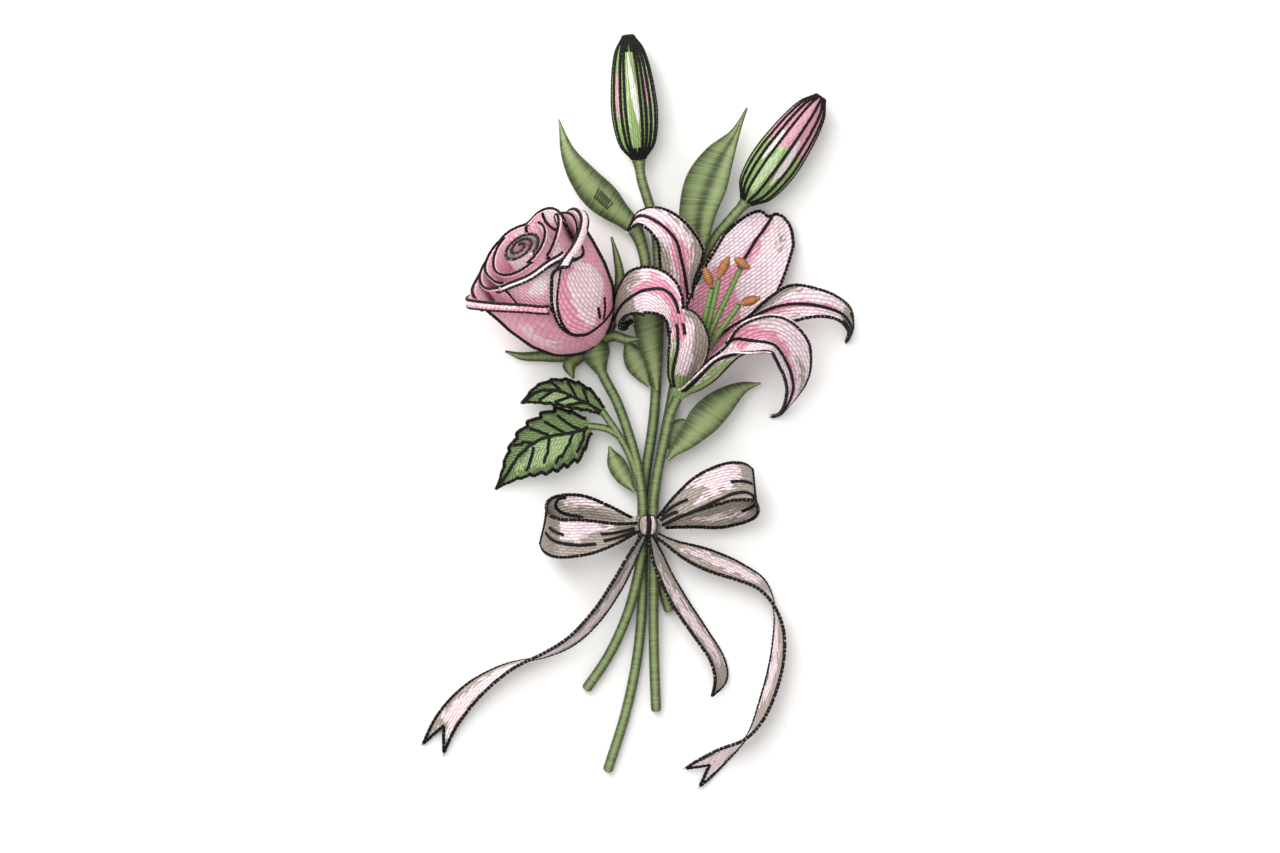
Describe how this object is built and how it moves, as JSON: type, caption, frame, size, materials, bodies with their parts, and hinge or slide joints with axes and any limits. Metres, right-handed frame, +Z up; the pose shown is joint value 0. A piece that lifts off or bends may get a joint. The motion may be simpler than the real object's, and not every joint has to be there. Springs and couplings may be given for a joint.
{
  "type": "embroidered mixed flower bouquet",
  "caption": "Stitched-thread bouquet lying down: a rose, an open lily, lily buds, leaves and stems tied with a ribbon bow.",
  "frame": {"origin": "on the surface the bouquet lies on, at the middle of the flat foot of the ribbon band that ties the stems", "axes": "+Y from the tie to the blooms, +Z up from the surface, +X to the right as seen from above with the blooms at the top"},
  "size_m": [0.2379, 0.4158, 0.0797],
  "materials": {
    "rose_pink": "pink thread in fill stitch, dark outline stitches",
    "stem_olive": "olive thread in satin stitch",
    "leaf_olive": "olive thread in satin stitch",
    "rose_leaf_green": "green thread in fill stitch, dark veins",
    "lily_pink": "pale pink thread in fill stitch, dark outline stitches",
    "filament_green": "green thread in satin stitch",
    "anther_ochre": "ochre thread in satin stitch",
    "bud_green": "green thread in fill stitch, dark ridges",
    "bud_pink": "pink and green thread in fill stitch, dark ridges",
    "ribbon_taupe": "taupe and pale pink thread in fill stitch, dark edges"
  },
  "bodies": {
    "root": {"rose_bloom": "rose_pink", "rose_stem": "stem_olive", "rose_leaflet_upper": "rose_leaf_green", "rose_leaflet_lower": "rose_leaf_green", "lily_bloom": "lily_pink", "lily_filaments": "filament_green", "lily_anther_1": "anther_ochre", "lily_anther_2": "anther_ochre", "lily_anther_3": "anther_ochre", "lily_anther_4": "anther_ochre", "bud_top": "bud_green", "bud_side": "bud_pink", "lily_stem": "stem_olive", "bud_top_stem": "stem_olive", "bud_side_stem": "stem_olive", "leaf_upper_left": "leaf_olive", "leaf_upper_right": "leaf_olive", "leaf_sheath": "leaf_olive", "leaf_middle": "leaf_olive", "leaf_lower_right": "leaf_olive", "leaf_lower_right_small": "leaf_olive", "leaf_lower_left": "leaf_olive", "ribbon_band": "ribbon_taupe", "ribbon_knot": "ribbon_taupe", "ribbon_loop_left": "ribbon_taupe", "ribbon_loop_right": "ribbon_taupe", "ribbon_tail_left": "ribbon_taupe", "ribbon_tail_middle": "ribbon_taupe", "ribbon_tail_right": "ribbon_taupe"}
  },
  "joints": []
}
